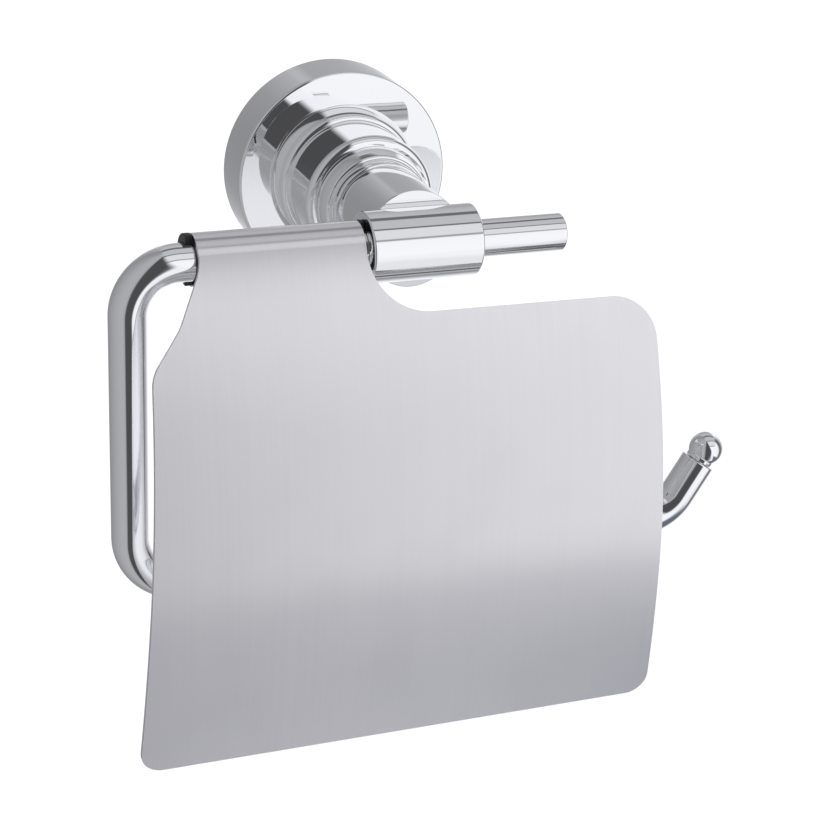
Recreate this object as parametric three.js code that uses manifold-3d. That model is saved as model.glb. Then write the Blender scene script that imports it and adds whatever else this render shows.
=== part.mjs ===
// Wall-mounted toilet roll holder with a swinging sheet lid.
// Millimetres, +Z up, +X to the right, the wall is the plane y = 0 and the room is at y < 0.
// The origin is the middle of the wall bracket's back face.
import * as THREE from 'three';
import { mergeVertices } from 'three/addons/utils/BufferGeometryUtils.js';
import Module from 'manifold-3d';

// ---------- driving dimensions ----------

// Clearances
const seatGap = 0.2;       // between fixed pieces that sit face to face
const boreGap = 0.2;       // radial, a fixed shaft in its bore
const threadGap = 0.3;     // radial, a screw in its hole
const runGap = 0.1;        // radial, the lid's bushes on the rod

// Rosette, a pressed cup that hides the bracket
const rosetteRadius = 27.5;
const rosetteDepth = 14.2;
const rosetteWall = 2.4;
const rosetteEdge = 0.6;   // rounding of the front rim

// Wall bracket, a cast dish
const bracketDepth = 9;
const bracketFloor = 3;
const bracketRim = 3.3;
const grooveMiddle = 6.2;  // distance of the clamping groove from the wall
const grooveDepth = 1.4;
const grooveMouth = 2.4;   // half widths of the groove
const grooveBottom = 1.0;
const slotMargin = 4.2;    // between the bracket's rim and the end of a slot
const slotLength = 8.5;
const slotRadius = 2.4;

// Turned collars, the post and the tenon that carries them
const baseFlangeRadius = 19.1;
const baseFlangeHeight = 1.5;
const baseBeadHeight = 3.7;
const baseRadius = 16.6;
const baseHeight = 20.8;
const baseEdge = 1.8;
const neckFlangeRadius = 14.2;
const neckFlangeHeight = 0.8;
const neckBeadHeight = 3.8;
const neckRadius = 12.5;
const neckHeight = 8.4;
const neckEdge = 0.5;
const postRadius = 11.9;
const postEdge = 0.3;
const postSetback = 3.2;   // the post's front face lies this far behind the rod's axis
const tenonRadius = 6;

// Rod, bent from one bar
const rodRadius = 4.5;
const rodDepth = 67.4;     // wall to the rod's plane
const stubEnd = 36.5;
const armLeft = -69.1;
const armDrop = 80.1;
const bendRadius = 11.7;   // at the upper left and the hook
const cornerBendRadius = 13.4; // at the lower left
const hookStart = 65.3;
const hookAngle = 59;      // degrees above the bar
const hookTail = 10.5;

// Ball on the hook's end
const ballRadius = 4.4;
const ballNeckRadius = 3.6;
const ballReach = 3.6;     // from the rod's end to the ball's centre
const spigotRadius = 2;
const spigotLength = 7;

// Sleeve that joins the rod to the post
const sleeveRadius = 8.5;
const sleeveHalf = 13.6;
const sleeveEdge = 0.5;

// Screws
const tieRadius = 2.5;
const tieHeadRadius = 4.25;
const tieHeadHeight = 3.6;
const washerRadius = 5.5;
const washerThickness = 1.2;
const grubRadius = 2;
const grubKey = 2;         // across the hexagon's flats
const grubRecess = 0.3;
const armScrewX = 6.5;

// Lid, one sheet curled over the rod
const sheet = 1;
const curlStart = 27;      // degrees above the rod's front, where the apron leaves the curl
const curlEnd = 262;
const apronRadius = 164;   // upper bend of the apron
const apronTurn = 86;      // length that keeps the upper bend
const lowerRadius = 340;   // flatter bend below it
const lidLength = 125.9;   // along the sheet, from the curl to the bottom edge
const shoulder = 16.5;     // along the sheet, down to the cut-out's edge
const shoulderFall = 0.7;  // how much lower that edge ends on the right
const neckLeft = -54.3;
const neckGap = 1.3;       // between the curl and the sleeve
const leftTop = -67;       // the lid's edges at the shoulder, and how much they spread
const rightTop = 55.9;
const edgeSpread = 0.047;
const cutoutRadius = 14.6;
const shoulderRadius = 11.3;
const cornerRadius = 5.6;
const flareRadius = 8;
const flareEnd = 25.4;     // along the sheet, where the flared edge meets the left edge
const flareSlope = 36;     // degrees

// Bushes in the curl's ends
const bushLength = 12;
const bushWall = 0.8;
const bushFlange = 1.9;    // length outside the curl on the left
const flangeInset = 0.55;  // how far the flange's rim lies inside the curl's outside
const flangeRise = 0.65;   // the flange sits high, to cover the edge of the sheet over the rod
const flangeFront = 1;     // the flange stops this far in front of the rod's axis

// ---------- places worked out from them ----------

const rosetteInner = rosetteRadius - rosetteWall;
const bracketRadius = rosetteInner - threadGap;
const bracketInner = bracketRadius - bracketRim;
const slotOffset = bracketInner - slotMargin - slotLength / 2;
const rosetteFloor = -(rosetteDepth - rosetteWall);
const baseFoot = -(rosetteDepth + seatGap);
const baseTop = baseFoot - baseHeight;
const neckFoot = baseTop - seatGap;
const neckTop = neckFoot - neckHeight;
const postFoot = neckTop - seatGap;
const postFront = -(rodDepth - postSetback);
const rodY = -rodDepth;
const collarBore = tenonRadius + boreGap;
const tieHole = tieRadius + threadGap;
const grubHole = grubRadius + threadGap;
const neckRight = -(sleeveHalf + neckGap);
const curlInner = rodRadius + 2 * runGap + bushWall;
const curlRadius = curlInner + sheet;
const flangeRadius = curlRadius - flangeInset;
const rad = THREE.MathUtils.degToRad;

// ---------- finishes ----------

const chrome = new THREE.MeshStandardMaterial({ color: 0xd6d8dc, roughness: 0.06, metalness: 1 });
const brushedSteel = new THREE.MeshStandardMaterial({ color: 0xc9c8cc, roughness: 0.38, metalness: 1 });
const castZinc = new THREE.MeshStandardMaterial({ color: 0x9b9da0, roughness: 0.55, metalness: 1 });
const zincSteel = new THREE.MeshStandardMaterial({ color: 0xb4b6b8, roughness: 0.35, metalness: 1 });
const blackPlastic = new THREE.MeshStandardMaterial({ color: 0x141416, roughness: 0.5, metalness: 0 });

// ---------- solid helpers ----------

const wasm = await Module();
wasm.setup();

function toSolid(geometry) {
  const bare = geometry.clone();
  bare.deleteAttribute('normal');
  bare.deleteAttribute('uv');
  const merged = mergeVertices(bare, 1e-4);
  return new wasm.Manifold(new wasm.Mesh({
    numProp: 3,
    vertProperties: new Float32Array(merged.attributes.position.array),
    triVerts: new Uint32Array(merged.index.array),
  }));
}

function toGeometry(solid) {
  const mesh = solid.getMesh();
  const geometry = new THREE.BufferGeometry();
  geometry.setAttribute('position', new THREE.BufferAttribute(new Float32Array(mesh.vertProperties), 3));
  geometry.setIndex(new THREE.BufferAttribute(new Uint32Array(mesh.triVerts), 1));
  return geometry;
}

function cut(geometry, ...tools) {
  const solid = tools.reduce((body, tool) => body.subtract(toSolid(tool)), toSolid(geometry));
  return toGeometry(solid);
}

// A turned piece about the Y axis. Points are [radius, y] and run round the section so that the
// metal is on their left.
function turned(points, segments = 48) {
  const section = points.map(([radius, y]) => new THREE.Vector2(radius, y));
  const first = section[0];
  const last = section[section.length - 1];
  const closedOnAxis = first.x === 0 && last.x === 0;
  return new THREE.LatheGeometry(closedOnAxis ? section : [...section, first.clone()], segments);
}

// Points of a quarter ellipse from one section point to another. At the start it runs along y.
function quarter([r0, y0], [r1, y1], steps) {
  return Array.from({ length: steps + 1 }, (_, i) => {
    const angle = (i / steps) * (Math.PI / 2);
    return [r1 + (r0 - r1) * Math.cos(angle), y0 + (y1 - y0) * Math.sin(angle)];
  });
}

// A plain cylinder between two points.
function bar(from, to, radius, segments = 24) {
  const start = new THREE.Vector3(...from);
  const axis = new THREE.Vector3(...to).sub(start);
  const length = axis.length();
  const geometry = new THREE.CylinderGeometry(radius, radius, length, segments);
  geometry.applyQuaternion(new THREE.Quaternion().setFromUnitVectors(new THREE.Vector3(0, 1, 0), axis.normalize()));
  return geometry.translate(...start.addScaledVector(axis, length / 2).toArray());
}

// ---------- wall side ----------

function wallBracket() {
  const dish = turned([
    [0, 0],
    [0, -bracketFloor],
    [bracketInner, -bracketFloor],
    [bracketInner, -bracketDepth],
    [bracketRadius, -bracketDepth],
    [bracketRadius, -grooveMiddle - grooveMouth],
    [bracketRadius - grooveDepth, -grooveMiddle - grooveBottom],
    [bracketRadius - grooveDepth, -grooveMiddle + grooveBottom],
    [bracketRadius, -grooveMiddle + grooveMouth],
    [bracketRadius, 0],
    [0, 0],
  ]);
  return cut(dish, screwSlot(-slotOffset, 0), screwSlot(slotOffset, Math.PI / 2));
}

// A round-ended slot through the bracket's floor, lying along X before it is turned.
function screwSlot(x, turn) {
  const straight = slotLength / 2 - slotRadius;
  const outline = new THREE.Shape();
  outline.absarc(straight, 0, slotRadius, -Math.PI / 2, Math.PI / 2);
  outline.absarc(-straight, 0, slotRadius, Math.PI / 2, Math.PI * 1.5);
  const depth = bracketFloor + 2;
  const slot = new THREE.ExtrudeGeometry(outline, { depth, bevelEnabled: false, curveSegments: 8 });
  return slot.rotateZ(turn).rotateX(Math.PI / 2).translate(x, 1, 0);
}

function rosette() {
  const front = -rosetteDepth;
  const cup = turned([
    [tieHole, rosetteFloor],
    [tieHole, front],
    ...quarter([rosetteRadius, front + rosetteEdge], [rosetteRadius - rosetteEdge, front], 2).reverse(),
    [rosetteRadius, 0],
    [rosetteInner, 0],
    [rosetteInner, rosetteFloor],
  ], 64);
  return cut(cup, bar([0, -grooveMiddle, -rosetteRadius - 2], [0, -grooveMiddle, -rosetteInner + 2], grubHole));
}

// A cone-point or flat-point grub screw about the Y axis, key end at y = 0, with its hexagon socket.
function grubScrew(length, cone) {
  const tip = grubRadius * 0.3;
  const body = turned([
    [0, 0],
    [grubRadius, 0],
    [grubRadius, length - cone],
    [tip, length],
    [0, length],
  ], 24);
  const keyRadius = grubKey / 2 / Math.cos(Math.PI / 6);
  const socket = new THREE.CylinderGeometry(keyRadius, keyRadius, length * 0.8, 6);
  return cut(body, socket);
}

function tieBolt() {
  const seat = rosetteFloor + washerThickness + 2 * seatGap;
  const tip = rodY + rodRadius + boreGap + seatGap;
  const bolt = turned([
    [0, seat + tieHeadHeight],
    [0, tip],
    [tieRadius - 0.5, tip],
    [tieRadius, tip + 0.5],
    [tieRadius, seat],
    [tieHeadRadius, seat],
    [tieHeadRadius, seat + tieHeadHeight],
  ], 24);
  const keyRadius = tieRadius * 0.9;
  const socket = new THREE.CylinderGeometry(keyRadius, keyRadius, tieHeadHeight, 6);
  return cut(bolt, socket.translate(0, seat + tieHeadHeight, 0));
}

function tieWasher() {
  const back = rosetteFloor + seatGap + washerThickness;
  return turned([
    [tieHole, back],
    [tieHole, back - washerThickness],
    [washerRadius, back - washerThickness],
    [washerRadius, back],
  ], 24);
}

// ---------- collars, post and sleeve ----------

// A collar with a flanged foot, a bead and a drum, bored for the post's tenon.
function collar({ foot, flange, flangeHeight, beadHeight, drum, height, edge }) {
  const front = foot - height;
  const beadStart = foot - flangeHeight;
  return turned([
    [collarBore, foot],
    [collarBore, front],
    ...quarter([drum, front + edge], [drum - edge, front], 3).reverse(),
    ...quarter([flange, beadStart], [drum, beadStart - beadHeight], 4).reverse(),
    [flange, foot],
  ], 56);
}

function baseCollar() {
  return collar({
    foot: baseFoot,
    flange: baseFlangeRadius,
    flangeHeight: baseFlangeHeight,
    beadHeight: baseBeadHeight,
    drum: baseRadius,
    height: baseHeight,
    edge: baseEdge,
  });
}

function neckCollar() {
  return collar({
    foot: neckFoot,
    flange: neckFlangeRadius,
    flangeHeight: neckFlangeHeight,
    beadHeight: neckBeadHeight,
    drum: neckRadius,
    height: neckHeight,
    edge: neckEdge,
  });
}

function post() {
  const body = turned([
    [tieHole, baseFoot],
    [tieHole, postFront],
    [postRadius - postEdge, postFront],
    [postRadius, postFront + postEdge],
    [postRadius, postFoot],
    [tenonRadius, postFoot],
    [tenonRadius, baseFoot],
  ]);
  const reach = postRadius + 2;
  const saddle = bar([-reach, rodY, 0], [reach, rodY, 0], sleeveRadius + seatGap, 48);
  return cut(body, saddle);
}

function crossSleeve() {
  const bore = rodRadius + boreGap;
  const tube = turned([
    [bore, -sleeveHalf],
    [sleeveRadius - sleeveEdge, -sleeveHalf],
    [sleeveRadius, -sleeveHalf + sleeveEdge],
    [sleeveRadius, sleeveHalf - sleeveEdge],
    [sleeveRadius - sleeveEdge, sleeveHalf],
    [bore, sleeveHalf],
  ]);
  tube.rotateZ(-Math.PI / 2).translate(0, rodY, 0);
  const tieEntry = bar([0, rodY, 0], [0, rodY + sleeveRadius + 2, 0], tieHole);
  const screwEntry = bar([armScrewX, rodY, 0], [armScrewX, rodY, -sleeveRadius - 2], grubHole);
  return cut(tube, tieEntry, screwEntry);
}

// ---------- rod and ball ----------

// The rod's centre line, station by station: straight runs need only their ends, bends a few more.
class RodPath extends THREE.Curve {
  constructor(stations) {
    super();
    this.stations = stations;
  }

  getPoint(t, target = new THREE.Vector3()) {
    return target.copy(this.stations[Math.round(t * (this.stations.length - 1))].point);
  }

  getPointAt(u, target) {
    return this.getPoint(u, target);
  }

  getTangentAt(u, target = new THREE.Vector3()) {
    return target.copy(this.stations[Math.round(u * (this.stations.length - 1))].tangent);
  }
}

const hookDirection = new THREE.Vector3(Math.cos(rad(hookAngle)), 0, Math.sin(rad(hookAngle)));

function rodStations() {
  const stations = [];
  const add = (x, z, heading) => stations.push({
    point: new THREE.Vector3(x, rodY, z),
    tangent: new THREE.Vector3(Math.cos(rad(heading)), 0, Math.sin(rad(heading))),
  });
  // A bend to the left of the way the rod runs, as seen from the room.
  const bend = (centreX, centreZ, radius, fromHeading, turn, steps) => {
    for (let i = 0; i <= steps; i += 1) {
      const heading = fromHeading + (turn * i) / steps;
      const angle = rad(heading - 90);
      add(centreX + radius * Math.cos(angle), centreZ + radius * Math.sin(angle), heading);
    }
  };
  add(stubEnd, 0, 180);
  bend(armLeft + bendRadius, -bendRadius, bendRadius, 180, 90, 8);
  bend(armLeft + cornerBendRadius, -armDrop + cornerBendRadius, cornerBendRadius, 270, 90, 8);
  bend(hookStart, -armDrop + bendRadius, bendRadius, 360, hookAngle, 6);
  const bendEnd = stations[stations.length - 1].point;
  const end = bendEnd.clone().addScaledVector(hookDirection, hookTail);
  add(end.x, end.z, hookAngle);
  return stations;
}

function rodEnd() {
  return rodStations().at(-1).point;
}

function rollArm() {
  const section = new THREE.Shape();
  section.absarc(0, 0, rodRadius, 0, Math.PI * 2);
  const path = new RodPath(rodStations());
  const rod = new THREE.ExtrudeGeometry(section, {
    steps: path.stations.length - 1,
    curveSegments: 12,
    extrudePath: path,
  });
  const mouth = rodEnd().addScaledVector(hookDirection, 2);
  const bottom = rodEnd().addScaledVector(hookDirection, -spigotLength - seatGap);
  return cut(rod, bar(mouth.toArray(), bottom.toArray(), spigotRadius + boreGap));
}

// The ball with its neck and spigot, about the Y axis with the rod's end at y = 0.
function tipBall() {
  const neckMeets = ballReach - Math.sqrt(ballRadius ** 2 - ballNeckRadius ** 2);
  const start = Math.asin(ballNeckRadius / ballRadius);
  const steps = 8;
  const dome = Array.from({ length: steps }, (_, i) => {
    const angle = Math.PI - start - ((Math.PI - start) * i) / steps;
    return [ballRadius * Math.sin(angle), ballReach + ballRadius * Math.cos(angle)];
  });
  return turned([
    [0, -spigotLength],
    [spigotRadius, -spigotLength],
    [spigotRadius, seatGap],
    [ballNeckRadius, seatGap],
    [ballNeckRadius, Math.max(neckMeets, seatGap + 0.2)],
    ...dome.slice(1),
    [0, ballReach + ballRadius],
  ], 24);
}

// ---------- lid ----------

// Where the sheet's outer face is after s millimetres of apron, and how far it leans forward there.
function apron(s) {
  const start = rad(curlStart);
  const upper = Math.min(s, apronTurn);
  const lower = Math.max(s - apronTurn, 0);
  const leanAtTurn = start - upper / apronRadius;
  const lean = leanAtTurn - lower / lowerRadius;
  const y = rodY - curlRadius * Math.cos(start)
    - apronRadius * (Math.cos(leanAtTurn) - Math.cos(start))
    - lowerRadius * (Math.cos(lean) - Math.cos(leanAtTurn));
  const z = curlRadius * Math.sin(start)
    - apronRadius * (Math.sin(start) - Math.sin(leanAtTurn))
    - lowerRadius * (Math.sin(leanAtTurn) - Math.sin(lean));
  return { y, z, lean };
}

// A strip of the sheet's section in the YZ plane, drawn out along X.
function strip(outer, inner, fromX, toX) {
  const outline = new THREE.Shape([...outer, ...inner.reverse()].map(([y, z]) => new THREE.Vector2(y, z)));
  const depth = toX - fromX;
  const geometry = new THREE.ExtrudeGeometry(outline, { depth, bevelEnabled: false });
  const turn = new THREE.Matrix4().set(0, 0, 1, fromX, 1, 0, 0, 0, 0, 1, 0, 0, 0, 0, 0, 1);
  return geometry.applyMatrix4(turn);
}

function curlStrip() {
  const steps = 22;
  const ring = (radius) => Array.from({ length: steps + 1 }, (_, i) => {
    const angle = rad(curlStart - 1 + ((curlEnd - curlStart + 1) * i) / steps);
    return [rodY - radius * Math.cos(angle), radius * Math.sin(angle)];
  });
  return strip(ring(curlRadius), ring(curlInner), neckLeft, neckRight);
}

function apronStrip() {
  const steps = 24;
  const face = (inset) => Array.from({ length: steps + 1 }, (_, i) => {
    const { y, z, lean } = apron(((lidLength + 2) * i) / steps);
    return [y + inset * Math.cos(lean), z - inset * Math.sin(lean)];
  });
  const margin = 10;
  return strip(face(0), face(sheet), leftTop - margin, rightTop + margin);
}

function leftEdge(s) {
  return leftTop - edgeSpread * (s - shoulder);
}

function rightEdge(s) {
  return rightTop + edgeSpread * (s - shoulder);
}

// Points of an arc that rounds the corner b between a and c.
function fillet(a, b, c, radius, steps) {
  const corner = new THREE.Vector2(...b);
  const back = new THREE.Vector2(...a).sub(corner).normalize();
  const ahead = new THREE.Vector2(...c).sub(corner).normalize();
  const half = Math.acos(back.dot(ahead)) / 2;
  const middle = back.clone().add(ahead).normalize();
  const centre = corner.clone().addScaledVector(middle, radius / Math.sin(half));
  const from = corner.clone().addScaledVector(back, radius / Math.tan(half)).sub(centre).angle();
  const to = corner.clone().addScaledVector(ahead, radius / Math.tan(half)).sub(centre).angle();
  const sweep = THREE.MathUtils.euclideanModulo(to - from + Math.PI, Math.PI * 2) - Math.PI;
  return Array.from({ length: steps + 1 }, (_, i) => {
    const angle = from + (sweep * i) / steps;
    return [centre.x + radius * Math.cos(angle), centre.y + radius * Math.sin(angle)];
  });
}

// The lid's flat blank as [x, s], s running down the sheet from where the apron leaves the curl.
function blank() {
  const flareStart = 1;
  const shoulderLeft = [neckRight, shoulder];
  const shoulderRight = [rightEdge(shoulder), shoulder + shoulderFall];
  const bottomRight = [rightEdge(lidLength), lidLength];
  const bottomLeft = [leftEdge(lidLength), lidLength];
  const flareCorner = [leftEdge(flareEnd), flareEnd];
  const slope = rad(flareSlope);
  const flareTop = [flareCorner[0] + 12 * Math.sin(slope), flareEnd - 12 * Math.cos(slope)];
  const corner = fillet(bottomLeft, flareCorner, flareTop, flareRadius, 5);
  const meet = new THREE.Vector2(...corner.at(-1));
  const pull = new THREE.Vector2(Math.sin(slope), -Math.cos(slope)).multiplyScalar(10);
  const flare = new THREE.CubicBezierCurve(
    meet,
    meet.clone().add(pull),
    new THREE.Vector2(neckLeft, flareStart + 6),
    new THREE.Vector2(neckLeft, flareStart),
  );
  return [
    ...fillet([neckRight, 0], shoulderLeft, shoulderRight, cutoutRadius, 10),
    ...fillet(shoulderLeft, shoulderRight, bottomRight, shoulderRadius, 9),
    ...fillet(shoulderRight, bottomRight, bottomLeft, cornerRadius, 6),
    ...fillet(bottomRight, bottomLeft, flareCorner, cornerRadius, 6),
    ...corner,
    ...flare.getPoints(12).slice(1).map((point) => [point.x, point.y]),
  ];
}

function lidPlate() {
  const above = curlRadius + 5;
  const outline = new THREE.Shape([
    new THREE.Vector2(neckLeft, above),
    new THREE.Vector2(neckRight, above),
    ...blank().map(([x, s]) => new THREE.Vector2(x, apron(s).z)),
  ]);
  const reach = 2 * rodDepth;
  const cutter = new THREE.ExtrudeGeometry(outline, { depth: reach, bevelEnabled: false });
  cutter.rotateX(Math.PI / 2);
  const face = toSolid(apronStrip()).intersect(toSolid(cutter));
  return toGeometry(face.add(toSolid(curlStrip())));
}

// A flanged bush in one end of the curl. Its flange stands against the sheet's edge and goes only
// round the back of the rod.
function lidBush(end, flange, inward) {
  const sleeve = curlInner - runGap;
  const bore = rodRadius + runGap;
  const shell = turned([
    [bore, bushLength],
    [bore, -flange],
    [sleeve, -flange],
    [sleeve, bushLength],
  ], 40);
  const disc = new THREE.CylinderGeometry(flangeRadius, flangeRadius, flange - seatGap, 40);
  disc.translate(0, -(flange + seatGap) / 2, flangeRise);
  const front = new THREE.BoxGeometry(3 * curlRadius, flange + 1, 4 * curlRadius);
  front.translate(inward * (flangeFront + 1.5 * curlRadius), -(flange + 1) / 2, 0);
  const solid = toSolid(shell)
    .add(toSolid(disc))
    .subtract(toSolid(bar([0, -flange - 1, 0], [0, 0, 0], bore, 40)))
    .subtract(toSolid(front));
  return toGeometry(solid).rotateZ(inward * -Math.PI / 2).translate(end, rodY, 0);
}

// ---------- the assembly ----------

const holder = new THREE.Group();
const lid = new THREE.Group();
const assembly = new THREE.Group();
assembly.add(holder, lid);

function place(group, name, geometry, material) {
  const mesh = new THREE.Mesh(geometry, material);
  mesh.name = name;
  group.add(mesh);
  return mesh;
}

place(holder, 'wall_bracket', wallBracket(), castZinc);
place(holder, 'rosette', rosette(), chrome);
const rosetteScrew = place(holder, 'rosette_screw', grubScrew(3.5, 1.3), zincSteel);
rosetteScrew.position.set(0, -grooveMiddle, -rosetteRadius + grubRecess);
rosetteScrew.rotation.x = Math.PI / 2;
place(holder, 'tie_bolt', tieBolt(), zincSteel);
place(holder, 'tie_washer', tieWasher(), zincSteel);
place(holder, 'base_collar', baseCollar(), chrome);
place(holder, 'neck_collar', neckCollar(), chrome);
place(holder, 'post', post(), chrome);
place(holder, 'cross_sleeve', crossSleeve(), chrome);
const armScrewLength = sleeveRadius - grubRecess - rodRadius - 2 * seatGap;
const armScrew = place(holder, 'arm_screw', grubScrew(armScrewLength, 0.4), zincSteel);
armScrew.position.set(armScrewX, rodY, -sleeveRadius + grubRecess);
armScrew.rotation.x = Math.PI / 2;
place(holder, 'roll_arm', rollArm(), chrome);
const ball = place(holder, 'tip_ball', tipBall(), chrome);
ball.position.copy(rodEnd());
ball.quaternion.setFromUnitVectors(new THREE.Vector3(0, 1, 0), hookDirection);

place(lid, 'lid_plate', lidPlate(), brushedSteel);
place(lid, 'lid_bush_left', lidBush(neckLeft, bushFlange, 1), blackPlastic);
place(lid, 'lid_bush_right', lidBush(neckRight, neckGap - seatGap, -1), blackPlastic);

export default assembly;
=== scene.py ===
import math

import bmesh
import bpy
from mathutils import Matrix, Vector


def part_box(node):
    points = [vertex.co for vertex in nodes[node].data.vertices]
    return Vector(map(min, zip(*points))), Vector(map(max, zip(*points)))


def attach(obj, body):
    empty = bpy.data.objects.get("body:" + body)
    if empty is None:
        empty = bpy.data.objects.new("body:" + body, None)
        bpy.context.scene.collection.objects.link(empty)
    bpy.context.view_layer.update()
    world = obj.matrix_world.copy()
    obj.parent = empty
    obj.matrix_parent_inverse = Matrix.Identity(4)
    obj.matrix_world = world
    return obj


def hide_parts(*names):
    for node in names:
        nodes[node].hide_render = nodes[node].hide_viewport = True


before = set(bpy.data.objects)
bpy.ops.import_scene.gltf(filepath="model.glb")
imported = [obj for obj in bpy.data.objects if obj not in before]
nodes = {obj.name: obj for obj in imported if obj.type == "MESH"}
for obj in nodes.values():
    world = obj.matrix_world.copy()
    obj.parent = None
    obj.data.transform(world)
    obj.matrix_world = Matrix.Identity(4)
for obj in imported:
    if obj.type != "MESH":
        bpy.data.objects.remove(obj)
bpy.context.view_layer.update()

print("frame loaded:", len(nodes), "CAD nodes")

# places that come from the frame
armLow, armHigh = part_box("roll_arm")
rodRadius = armHigh.z
rodY = (armLow.y + armHigh.y) / 2
armLeft = armLow.x + rodRadius
barZ = armLow.z + rodRadius

wallAxis = Vector((0, 1, 0))
rodAxis = Vector((1, 0, 0))

# how finely the shapes are made, in steps and metres
detail = {"turned": 144, "fine": 192, "rod": 96, "drill": 48, "nearAxis": 0.00001, "doubles": 1e-7,
          "sliver": 0.000004, "tiny": 0.000001, "cutPast": 0.002, "flatAngle": 32}
bevelAngle = math.radians(60)


# ---- mesh helpers

def wire(bm, points):
    # a closed loop of edges
    verts = [bm.verts.new(p) for p in points]
    for pair in zip(verts, verts[1:] + verts[:1]):
        bm.edges.new(pair)
    return verts


def roundCorner(bm, vert, size, segments=5):
    bmesh.ops.bevel(bm, geom=[vert], offset=size, offset_type="OFFSET", segments=segments,
                    profile=0.5, affect="VERTICES", material=-1)


def turned(bm, outline, steps=detail["turned"], axis=wallAxis, centre=(0, 0, 0)):
    # outline: [radius, y, rounding] round a closed section
    verts = wire(bm, [(r, y, 0) for r, y, *size in outline])
    for vert, (r, y, *size) in zip(verts, outline):
        if size:
            roundCorner(bm, vert, size[0])
    bmesh.ops.spin(bm, geom=list(bm.verts) + list(bm.edges), cent=(0, 0, 0), axis=wallAxis,
                   angle=math.tau, steps=steps, use_merge=True)
    bmesh.ops.remove_doubles(bm, verts=bm.verts, dist=detail["doubles"])
    place = Matrix.Translation(centre) @ wallAxis.rotation_difference(Vector(axis)).to_matrix().to_4x4()
    bmesh.ops.transform(bm, matrix=place, verts=bm.verts)


def closePoles(bm, centre=(0, 0, 0), axis=wallAxis):
    # an outline starts just off the axis, so each end leaves a tiny ring that becomes one point here
    near = detail["nearAxis"]
    poles = [v for v in bm.verts if (v.co - Vector(centre)).cross(axis).length < 2 * near]
    bmesh.ops.remove_doubles(bm, verts=poles, dist=4 * near)


def rounded(bm, size, segments=3):
    sharp = [e for e in bm.edges if len(e.link_faces) == 2 and e.calc_face_angle() > bevelAngle]
    bmesh.ops.bevel(bm, geom=sharp, offset=size, offset_type="OFFSET", segments=segments,
                    profile=0.5, affect="EDGES", material=-1)


def rod(bm, start, end, radius, segments=detail["rod"]):
    start, end = Vector(start), Vector(end)
    made = bmesh.ops.create_cone(bm, cap_ends=True, segments=segments, radius1=radius, radius2=radius,
                                 depth=(end - start).length)
    turn = Vector((0, 0, 1)).rotation_difference(end - start).to_matrix().to_4x4()
    bmesh.ops.transform(bm, matrix=Matrix.Translation((start + end) / 2) @ turn, verts=made["verts"])


def meshOf(bm, name):
    bmesh.ops.recalc_face_normals(bm, faces=bm.faces)
    mesh = bpy.data.meshes.new(name)
    bm.to_mesh(mesh)
    bm.free()
    return mesh


def combine(mesh, tools, operation):
    # tools are meshes, joined to or cut from the mesh one after another
    body = bpy.data.objects.new("body", mesh)
    bpy.context.scene.collection.objects.link(body)
    for tool in tools:
        other = bpy.data.objects.new("tool", tool)
        bpy.context.scene.collection.objects.link(other)
        step = body.modifiers.new("step", "BOOLEAN")
        step.operation = operation
        step.object = other
        step.solver = "EXACT"
        bpy.context.view_layer.update()
        evaluated = body.evaluated_get(bpy.context.evaluated_depsgraph_get())
        result = bpy.data.meshes.new_from_object(evaluated)
        body.modifiers.clear()
        body.data = result
        bpy.data.objects.remove(other)
    result = body.data
    bpy.data.objects.remove(body)
    result.name = mesh.name
    return result


def cleaned(mesh):
    # closes hairline slivers and drops edges that belong to no face
    bm = bmesh.new()
    bm.from_mesh(mesh)
    # a fixed order, because a boolean's own order varies and would let another point of a pair survive
    bm.verts.sort(key=lambda vert: vert.co.x + 3.1 * vert.co.y + 7.3 * vert.co.z)
    bmesh.ops.remove_doubles(bm, verts=bm.verts, dist=detail["sliver"])
    bmesh.ops.dissolve_degenerate(bm, dist=detail["tiny"], edges=bm.edges)
    bmesh.ops.delete(bm, geom=[edge for edge in bm.edges if not edge.link_faces], context="EDGES")
    bm.to_mesh(mesh)
    bm.free()


def piece(name, mesh, body, material, replaced):
    cleaned(mesh)
    mesh.name = name
    obj = bpy.data.objects.new(name, mesh)
    bpy.context.scene.collection.objects.link(obj)
    for polygon in mesh.polygons:
        polygon.use_smooth = True
    mesh.set_sharp_from_angle(angle=math.radians(detail["flatAngle"]))
    mesh.materials.clear()
    mesh.materials.append(material)
    normals = obj.modifiers.new("normals", "WEIGHTED_NORMAL")
    normals.keep_sharp = True
    normals.weight = 80
    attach(obj, body)
    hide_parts(*replaced)
    return obj


# ---- node helpers

def link(tree, source, target):
    tree.links.new(source, target)


def node(tree, kind, **settings):
    made = tree.nodes.new(kind)
    for key, value in settings.items():
        setattr(made, key, value)
    return made


def mathNode(tree, operation, first, second=None, clamp=False):
    made = node(tree, "ShaderNodeMath", operation=operation, use_clamp=clamp)
    for socket, value in zip(made.inputs, (first, second)):
        if value is None:
            continue
        if isinstance(value, (int, float)):
            socket.default_value = value
        else:
            link(tree, value, socket)
    return made.outputs[0]


def ramp(tree, source, low, high, toLow=0.0, toHigh=1.0):
    made = node(tree, "ShaderNodeMapRange", interpolation_type="SMOOTHSTEP")
    link(tree, source, made.inputs["Value"])
    for key, value in (("From Min", low), ("From Max", high), ("To Min", toLow), ("To Max", toHigh)):
        if isinstance(value, (int, float)):
            made.inputs[key].default_value = value
        else:
            link(tree, value, made.inputs[key])
    return made.outputs["Result"]


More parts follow.
